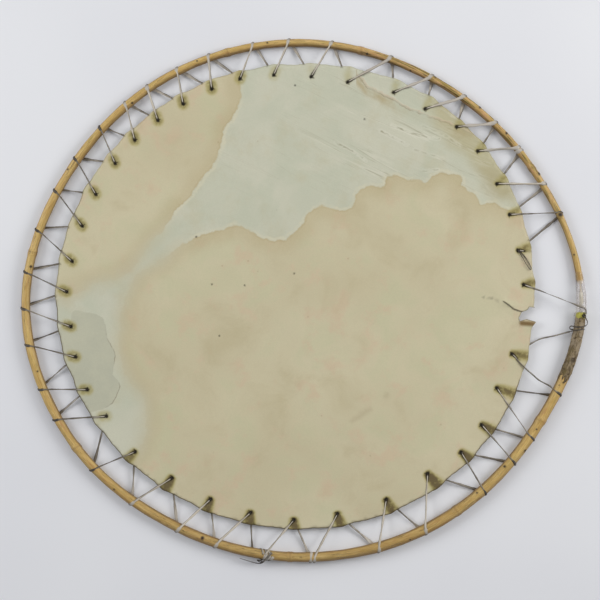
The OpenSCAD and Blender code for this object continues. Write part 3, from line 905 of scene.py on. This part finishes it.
def mark_hole(p, h, stain, dark):
    """The stain at one hole, its pit and slit painted near-black as shade, and the thong's painted
    shadow along its leg. Returns how far the thong presses the skin in.
    """
    c, d, side = hole_axes(h)
    o = out_dir(h[0])[:2]
    q = p - c
    outward, l, k = q @ o, np.clip(q @ o, 0, h[1]), q @ np.array([-o[1], o[0]])
    strong, halo = stain_share(h[0]), halo_share(h[0])
    fan = np.abs(k - 0.12 * l) / (4.6 + 0.24 * l + 1.2 * strong)
    fan = np.sqrt(fan**2 + (np.clip(-outward, 0, 30) / 4.2) ** 2)
    mark(stain, fan + 0.6 * smooth(4, 14, outward) * (1 - strong), 1.35, 0.1, strong * (1 - halo))
    mark(stain, to_segment(p, c - d * 0.5, c + d * 3.5), 8.4, 3.0, 0.55 * halo)
    # Painted shade: the pit, the slit along the thong, a dark stroke at the pit and the thong's
    # shadow on its way to the edge
    mark(dark, np.linalg.norm(q + d * 0.6, axis=1), 2.2, 1.4)
    mark(dark, to_segment(p, c, c + d * 6.4) + 0.14 * np.clip(q @ d, 0, 6), 2.3, 1.4, 0.95)
    mark(dark, to_segment(p, c - d * 0.8, c - d * 0.3 - side * 2.6), 0.8, 0.3, 0.85)
    mark(dark, to_segment(p, c, c + d * (h[1] + 2)), 1.1, 0.6, 0.4)
    return 0.5 * bell(to_segment(p, c, c + d * 4.2), 2.6)


def skin_relief(p, outline):
    """Height of the skin at plan points, and what its colours need to know there."""
    x, y = p[:, 0], p[:, 1]
    a = np.degrees(np.arctan2(y, x))
    edge = to_line(p, outline + outline[:1])
    z = np.full(len(p), SKIN_MID)
    z += 0.30 * wave(x + 0.4 * y, 160, 1) + 0.22 * wave(y - 0.3 * x, 110, 2)
    z += 0.10 * wave(x + y, 47, 0)
    z += 0.35 * np.exp(-edge / 10) * wave(a, 29, 1) + 0.2 * np.exp(-edge / 6) * wave(a, 11, 2)
    z += np.exp(-edge / 5) * rim_curl(a) * (0.6 + 0.4 * wave(a, 9.5, 0))
    z += 2.2 * np.exp(-to_segment(p, *FLAP) / 3.0)
    z += 0.8 * np.exp(-to_line(p, CRACK) / 3.0) * np.where(y > -6, 1, 0.4)
    stain, dark, brown = (np.zeros(len(p)) for _ in range(3))
    for h in ALL_HOLES:
        z -= mark_hole(p, h, stain, dark)
    # Painted shade: a small dark mark where the thong comes back under the skin's edge, for its
    # shadow there
    for h, nxt in zip(LOWER + MAIN, (LOWER + MAIN)[1:] + [LOOSE_HOLE]):
        leaves = out_dir(h[2] - 1)[:2] * (hoop_r(h[2]) - cane_r(h[2]))
        d = np.linalg.norm(p - edge_crossing(leaves, hole_at(nxt), 60), axis=1)
        np.maximum(dark, 0.7 * bell(d, 1.0), out=dark)
    mark(dark, to_line(p, CRACK), 0.9, 0.35, 0.75)
    mark(dark, to_line(p, CRACK_END), 0.8, 0.1, 0.45)
    mark(dark, to_line(p, TORN), 0.9, 0.2, 0.4)
    for speck in SPECKS:
        mark(dark, np.linalg.norm(p - np.array(speck), axis=1), 1.25, 0.4, 0.8)
    mark(brown, to_segment(p, *TORN_HOLE), 3.8, 0.8, 0.9)
    for smudge in SMUDGES:
        mark(brown, to_segment(p, *smudge), 4.0, 0.5, 0.16)
    over = y - np.interp(x, [v[0] for v in FOLD], [v[1] for v in FOLD])
    fold = to_line(p, FOLD)
    fold = np.where((x > 50) & (x < 165), np.where(over > 0, fold, -fold), -30)
    z += 0.22 * bell(fold + 1.5 * wave(x, 17, 0), 2.6)
    streak = np.maximum(bell(x - 95, 95, 4) * bell(y - 160, 62, 4),
                        0.35 * bell(x + 20, 80) * bell(y - 150, 60))
    low = ((a + 20) % 360) > 200
    return z, {
        "pale": signed(p, PALE), "grey": signed(p, GREY), "rim": signed(p, RIM), "edge": edge,
        "faded": 0.9 * smooth(-95, -135, x) * smooth(95, 50, y), "stain": stain, "dark": dark,
        "brown": brown, "streak": streak, "fold": fold,
        "vein": np.min([to_line(p, v) for v in VEINS], axis=0),
        # Painted edge shade: strongest along the bottom, then at the left
        "edge_shade_share": np.where(low, 0.85, np.where(np.abs(a) > 150, 0.5, 0.15)),
        "grey_line": smooth(-200, -192, x) * smooth(-112, -100, y),
    }


# ---- The thong ----

UP, DOWN = np.array([0, 0, 1.0]), np.array([0, 0, -1.0])
# Sides of a strip's section, how far its edges bend towards what it lies on, degrees a step
# round the cane, and steps between two points of a curved route
STRIP_SIDES, CUP, TURN_STEP, ROUTE_STEPS = 12, 0.22, 15, 5
# Drawn tight, the thong rolls up to this share of its flat width
ROLLED = 0.68
# Stitches at the upper right, where the thong is broad and pale, and those with a second turn
BROAD = {
    -254: 0.85, -262.5: 0.95, -272: 0.9, -281.5: 1.3, -293.5: 1.45, -302.5: 1.65, -311.5: 1.75,
    -319.5: 1.55, -329: 1.15,
}
DOUBLE = {-81, -319.5}
# Along the bottom and top the thong shows its pale side
PALE_LEGS = [(-50, -130), (-220, -285)]
# The slack first stitch curves on its way to the hoop
SLACK = {-14.5: [(202, -56), (213, -67), (223, -76), (234, -81.5)]}


def outward(a, s):
    """Away from the cane's centre line, at angle s of its section."""
    return out_dir(a) * cos_deg(s) + UP * sin_deg(s)


def round_cane(a, s, reach, centre_z):
    return place(a, hoop_r(a), centre_z) + outward(a, s) * reach


class Strip:
    """A route of points, each with the way its broad face looks, a width, a tone and a fold share,
    which thickens the strip and darkens it, partly as painted shade.
    """

    def __init__(self):
        self.rows = []

    def add(self, point, facing, width=1.0, tone=0.0, fold=0.0):
        self.rows.append((np.array(point, float), np.array(facing, float), width, tone, fold))

    def leg(self, point, facing, twist=0.0, width=1.0, tone=0.0, step=2.2):
        """A straight run to a point, turning about itself on the way and back again."""
        p, f, w0, t0, _ = self.rows[-1]
        q, g = np.array(point, float), np.array(facing, float)
        n = max(2, int(np.linalg.norm(q - p) / step))
        along = unit(q - p)
        for k in range(1, n + 1):
            u = k / n
            face = f * (1 - u) + g * u
            turn = math.radians(twist) * math.sin(math.pi * u)
            face = face * math.cos(turn) + np.cross(along, face) * math.sin(turn)
            self.add(p + (q - p) * u, face, w0 + (width - w0) * u, t0 + (tone - t0) * u)

    def turn(self, a, r, start, end, lead, width=1.0, tone=0.0, shade=0.0):
        """Round the cane, from one section angle to another, moving on along the hoop."""
        n = int(abs(end - start) / TURN_STEP)
        for k in range(n + 1):
            s = start + (end - start) * k / n
            b = a - lead * k / n
            off = wrap(s)
            outer = bell(off, 28)
            # Painted shade on the outer side of the turn, which is seen edge-on from above
            outer_edge_shade = 0.85 * bell(off - 8, 34)
            p = round_cane(b, s, r + 0.1 + THONG_T / 2 + 0.55 * outer, cane_z(b))
            p[2] = max(p[2], THONG_T / 2 + 0.05)
            self.add(p, outward(b, s), width * (1 - 0.3 * outer), tone, max(outer_edge_shade, shade))

    def build(self, name, material, replaced):
        """Sweeps the strip's cupped section along its smoothed route."""
        p, face, widths, tones, folds = (np.array(column) for column in zip(*self.rows))
        for _ in range(2):
            p[1:-1] = 0.25 * p[:-2] + 0.5 * p[1:-1] + 0.25 * p[2:]
        tangent = unit(np.gradient(p, axis=0))
        face = unit(face - tangent * np.sum(face * tangent, axis=1, keepdims=True))
        side = np.cross(face, tangent)
        steps = np.linalg.norm(np.diff(p, axis=0), axis=1)
        length = np.concatenate([[0], np.cumsum(steps)])
        c, sn = (f(around(STRIP_SIDES)) for f in (cos_deg, sin_deg))
        uneven = 1 + 0.12 * wave(length, 17, 0) + 0.08 * wave(length, 7.3, 1)
        half_w = THONG_W / 2 * widths * uneven
        across = half_w[:, None] * c
        through = (THONG_T / 2 * (0.8 + 0.9 * folds))[:, None] * sn
        lift = through - CUP * across * c
        ring = p[:, None] + side[:, None] * across[..., None] + face[:, None] * lift[..., None]
        grain = np.stack([np.repeat(length[:, None], STRIP_SIDES, 1), across, through], 2)
        sheer = smooth(1.05, 1.35, widths) * smooth(0.4, 0.7, tones)
        make_piece(name, ring.reshape(-1, 3), grid_faces(len(p), STRIP_SIDES), material, "thong",
                   replaced, grain=grain.reshape(-1, 3), across=np.tile(c, len(p)),
                   tone=np.repeat(tones, STRIP_SIDES), fold=np.repeat(folds, STRIP_SIDES),
                   sheer=np.repeat(sheer, STRIP_SIDES))


def through_hole(strip, stitch, came_from=None):
    """In under the skin to a hole, up through it, and out on top."""
    h, d, _ = hole_axes(stitch)
    o = out_dir(stitch[0])
    below = at_height(h + o[:2] * 0.9, SKIN_BOTTOM - 0.5)
    if came_from is None:
        strip.add(below, DOWN, ROLLED)
    else:
        crossing = at_height(edge_crossing(came_from, h), SKIN_BOTTOM - 0.45)
        strip.leg(crossing, DOWN, rng.uniform(-70, 70), ROLLED, 0.0)
        strip.leg(below, DOWN, 0, ROLLED, 0)
    # Near-black as painted shade where it runs through the hole, then pale as a painted highlight
    # where it lies flat on top
    for along, z, facing, width, tone, fold in (
        (-0.1, SKIN_BOTTOM, -o, 0.55, 0, 1.0), (-0.2, SKIN_MID, -o, 0.5, 0, 1.0),
        (0, SKIN_TOP + 0.25, (UP - o) * 0.7, 0.5, 0, 0.9), (0.8, SKIN_TOP + 0.45, UP, 0.5, 0, 1.0),
        (1.5, SKIN_TOP + 0.5, UP, 0.45, 1.0, 0.2), (3.2, SKIN_TOP + 0.5, UP, 0.42, 1.2, 0),
        (5.0, SKIN_TOP + 0.5, UP, 0.48, 0.9, 0),
    ):
        strip.add(at_height(h + d * along, z), facing, width, tone, fold)


def over_leg(strip, stitch, width, tone):
    """From a hole over the skin's edge to the top of the hoop."""
    target = place(stitch[2], hoop_r(stitch[2]) - cane_r(stitch[2]) * 0.3, 0)
    e = edge_crossing(hole_at(stitch), target)
    if stitch[0] in SLACK:
        for k, q in enumerate(SLACK[stitch[0]]):
            strip.leg(at_height(q, SKIN_TOP + 0.7 + 1.1 * k), UP, 40 * (-1) ** k, width, tone)
    else:
        near = 0.4 + 0.6 * width if width > 1 else width
        z = SKIN_TOP + 0.5 + rim_curl(math.degrees(math.atan2(e[1], e[0])))
        strip.leg(at_height(e, z), UP, rng.uniform(-25, 25), near, tone)
    top = cane_z(stitch[2]) + cane_r(stitch[2]) * 0.97
    strip.leg(at_height(target, top + 0.3), UP, rng.uniform(-60, 60), width, tone)


def stitch_on(strip, stitch, came_from):
    """One whole stitch. Returns where the thong leaves the underside of the hoop."""
    pale = any(lo >= stitch[0] >= hi for lo, hi in PALE_LEGS)
    width = BROAD.get(stitch[0], 1.0 if pale else ROLLED)
    tone = 0.75 if width > 1 else rng.uniform(0.8, 1.1) if pale else rng.uniform(-0.1, 0.15)
    through_hole(strip, stitch, came_from)
    over_leg(strip, stitch, width, tone)
    r = cane_r(stitch[2])
    turns, lead = (2, 1.3) if stitch[0] in DOUBLE else (1, 0.9)
    strip.turn(stitch[2], r, 85, -105 - 360 * (turns - 1), lead, max(1.3, min(2.0, width * 1.7)),
               tone, shade=0.0 if pale or width > 1 else 0.7)
    b = stitch[2] - lead
    return place(b, hoop_r(b) - r * 0.3, 0.4)


def make_laces(material):
    """Three lengths of thong, each laced along its real route."""
    lower = Strip()
    lower.add((253.4, -30, 4.6), (-0.6, 0.2, -0.7), 0.7)
    lower.leg((241, -33.5, 4.0), DOWN, 50, 0.7, 0.1)
    came = (226, -36.5, 3.6)
    lower.leg(came, DOWN, -40, 0.7, 0.1)
    for stitch in LOWER:
        came = stitch_on(lower, stitch, came)
    lower.build("lower_thong", material, ["lower_lace"])

    main = Strip()
    start = -101.6
    came = place(start, hoop_r(start) - cane_r(start) * 0.5, 0.6)
    main.add(came, DOWN, 0.9)
    for stitch in MAIN:
        came = stitch_on(main, stitch, came)
    through_hole(main, LOOSE_HOLE, came)
    main.build("main_thong", material, ["main_lace"])

    joint = Strip()
    through_hole(joint, JOINT_HOLE)
    a = JOINT_HOLE[2]
    r = sleeve_r(a) + SLEEVE_WALL
    e = edge_crossing(hole_at(JOINT_HOLE), out_dir(a) * HOOP_REACH)
    joint.leg(at_height(e, SKIN_TOP + 0.5), UP, 30, 0.75, -0.1)
    joint.leg(place(a, hoop_r(a) - r * 0.5, sleeve_z(a) + r * 0.92), UP, 120, 0.8, 0.1)
    for s, b in ((90, -1.4), (70, -1.6), (52, -1.9), (40, -2.2), (36, -2.5), (36, -2.9)):
        joint.leg(round_cane(b, s, r + 0.4, sleeve_z(b)), outward(b, s), 0, 0.9, 0.2, 1.2)
    joint.build("joint_thong", material, ["joint_lace"])


def soft_route(name, material, replaced, route, facing, width, tone, fold=lambda u: 0.0):
    """A strip along a smooth curve through a few points."""
    pts = np.array(route, float)
    strip = Strip()
    last = len(pts) - 1
    for i in range(last):
        near = [pts[max(i - 1, 0)], pts[i], pts[i + 1], pts[min(i + 2, last)]]
        for k in range(ROUTE_STEPS + (i == last - 1)):
            q = between(*near, k / ROUTE_STEPS)
            strip.add(q, facing(q), width, tone, fold(i / last))
    strip.build(name, material, replaced)


def from_cane(q):
    """The way out from the cane's centre line at a point."""
    a = math.degrees(math.atan2(q[1], q[0]))
    return unit(q - place(a, hoop_r(a), cane_z(a)))


def make_knots(material):
    """The tie at the joint, the stopper under its hole, the splice and the loose end."""
    tie = [
        (264.8, -12.3, 11.8), (265.8, -14, 12.2), (264.7, -16, 12.2), (263.8, -14.6, 12.6),
        (265.6, -13.4, 12.8), (266.8, -15.2, 12.2), (266.0, -16.8, 11.6), (264.4, -16, 12.2),
        (265.6, -14.8, 12.6), (267.2, -17.2, 11.4), (268.9, -20, 9.8), (269.0, -23, 8.8),
        (267.2, -24.6, 9.2), (264.4, -25.2, 10.6), (261, -25.6, 11.4), (257, -25.4, 10.4),
        (254.2, -24.6, 8.4), (252.8, -25.6, 6.6), (253.4, -27.4, 4.4), (256.5, -28.2, 1.6),
        (260.8, -28.6, 0.7), (265, -28.4, 2.4), (267, -28, 6.0), (265.2, -27.8, 9.6),
        (261, -28.2, 11.4), (256.6, -28.8, 10.2), (254, -29.6, 7.0), (253.4, -30, 4.6),
    ]
    soft_route("joint_tie", material, ["joint_knot"], tie, from_cane, 0.5, -0.1,
               fold=lambda u: 0.9 if u < 0.33 else 0.5)
    c = at_height(hole_at(JOINT_HOLE), SKIN_BOTTOM - 1.9)
    k = np.arange(12)
    coil = c + np.stack([1.25 * np.cos(k * 1.3), 1.9 * np.sin(k * 0.9), 1.1 * np.sin(k * 1.7)], 1)
    soft_route("stopper_knot_coil", material, ["stopper_knot"], coil, lambda q: DOWN, 0.7, 0.0)
    knot = Strip()
    for k in range(3):
        r = cane_r(-98) + 0.1 + 0.12 * k
        knot.turn(-96.7 - 0.75 * k, r, 85, -90, 2.0, 1.25, 0.75)
        knot.turn(-98.7 - 0.75 * k, r, -105, -260, -1.25, 1.1, 0.5)
    knot.build("splice_turns", material, ["splice_knot"])
    tail = [
        (-30, -239, 11.2), (-34, -243.6, 10.6), (-37, -247.4, 8.2), (-38.5, -249.4, 6.0),
        (-41.5, -249.2, 5.2), (-43.4, -247.2, 7.2), (-41, -247, 9.0), (-38.8, -249, 7.6),
        (-41.4, -250.4, 5.8), (-46, -250, 4.8), (-51, -248.6, 5.0), (-56, -247, 5.4),
        (-60.5, -245.4, 6.2),
    ]
    soft_route("splice_tail", material, [], tail, from_cane, 0.95, 0.0,
               fold=lambda u: 0.8 if 0.2 < u < 0.75 else 0.1)
    loop = [(x, y, SKIN_TOP + z) for x, y, z in (
        (204.6, 46.4, 0.5), (208, 44, 0.7), (211.6, 39.4, 0.8), (214.8, 34, 1.0), (216.4, 30, 1.3),
        (215.2, 29, 1.6), (212.6, 32.4, 1.6), (209.4, 38, 1.3), (206.8, 42.6, 1.1),
        (204.6, 45.8, 0.9), (203.8, 47.6, 0.3),
    )]
    soft_route("loose_end_loop", material, ["loose_loop"], loop, lambda q: UP, 0.34, 0.0,
               fold=lambda u: 0.85 - 0.35 * math.sin(math.pi * u))


def make_floor():
    bpy.ops.mesh.primitive_plane_add(size=60, location=(0, 0, 0))
    floor = bpy.context.active_object
    floor.name = "floor"
    floor.data.materials.append(floor_material())


make_camera()
make_light()
make_floor()
make_cane()
make_bark()
make_sleeve()
make_skin()
thong = thong_material("gut_thong", (92, 84, 72), (206, 197, 181), 0.4)
make_laces(thong)
make_knots(thong)
